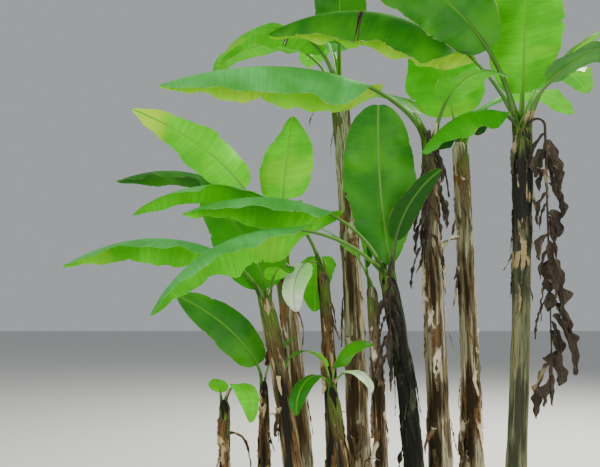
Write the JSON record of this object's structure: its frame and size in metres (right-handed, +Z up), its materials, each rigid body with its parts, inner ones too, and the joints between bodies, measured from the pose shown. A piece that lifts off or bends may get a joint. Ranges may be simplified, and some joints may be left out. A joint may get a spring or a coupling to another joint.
{
  "type": "banana plant clump",
  "caption": "A clump of leaning false stems from one creeping rootstock, each with a crown of long arching paddle leaves; suckers and a few dead hanging leaves between them.",
  "frame": {"origin": "centre of the flat cut under the main stem, at ground level", "axes": "+Z up; +X to the right and +Y away from the side that the picture shows"},
  "size_m": [5.3897, 3.3612, 5.291],
  "materials": {
    "sheath": "dry papery leaf sheaths, brown and straw streaks",
    "dark_sheath": "weathered, nearly black leaf sheaths",
    "smooth_sheath": "smooth living sheath, grey-green with brown scars",
    "blade": "waxy green leaf blade, lighter rib",
    "dead_leaf": "dry brown crumpled leaf",
    "rootstock": "rough earthy rootstock with sheath scars"
  },
  "bodies": {
    "root": {"stem_centre": "dark_sheath", "leaf_centre_upright": "blade", "leaf_centre_arch_high": "blade", "leaf_centre_arch_low": "blade", "leaf_centre_right": "blade", "leaf_centre_rear": "blade", "leaf_centre_dead": "dead_leaf", "stem_pale": "sheath", "leaf_pale_rear": "blade", "leaf_pale_spear": "blade", "stem_slim": "sheath", "leaf_slim_strap": "blade", "leaf_slim_glossy": "blade", "leaf_slim_rear": "blade", "stem_left_front": "sheath", "leaf_left_front_broad": "blade", "leaf_left_front_long": "blade", "leaf_left_front_near": "blade", "stem_left_back": "sheath", "leaf_left_back_upright": "blade", "leaf_left_back_broad": "blade", "leaf_left_back_dark": "blade", "leaf_left_back_rear": "blade", "stem_back": "sheath", "leaf_back_left": "blade", "leaf_back_upright": "blade", "leaf_back_rear": "blade", "leaf_back_rear_left": "blade", "stem_right_mid": "sheath", "leaf_right_mid_long": "blade", "leaf_right_mid_rear": "blade", "leaf_right_mid_near_right": "blade", "leaf_right_mid_dead": "dead_leaf", "stem_right_far": "sheath", "leaf_right_far_upright": "blade", "leaf_right_far_right": "blade", "leaf_right_far_rear": "blade", "stem_right_tall": "smooth_sheath", "leaf_right_tall_upright": "blade", "leaf_right_tall_left": "blade", "leaf_right_tall_high": "blade", "leaf_right_tall_low": "blade", "leaf_right_tall_right": "blade", "leaf_right_tall_near": "blade", "leaf_right_tall_rear": "blade", "leaf_right_tall_dead": "dead_leaf", "stem_sucker_left": "sheath", "leaf_sucker_left_small": "blade", "leaf_sucker_left_drooping": "blade", "stem_sucker_leaning": "sheath", "leaf_sucker_leaning_left": "blade", "leaf_sucker_leaning_rear": "blade", "stem_sucker_mid": "sheath", "leaf_sucker_mid_hanging": "blade", "leaf_sucker_mid_glossy": "blade", "leaf_sucker_mid_right": "blade", "leaf_sucker_mid_left": "blade", "rootstock": "rootstock"}
  },
  "joints": []
}
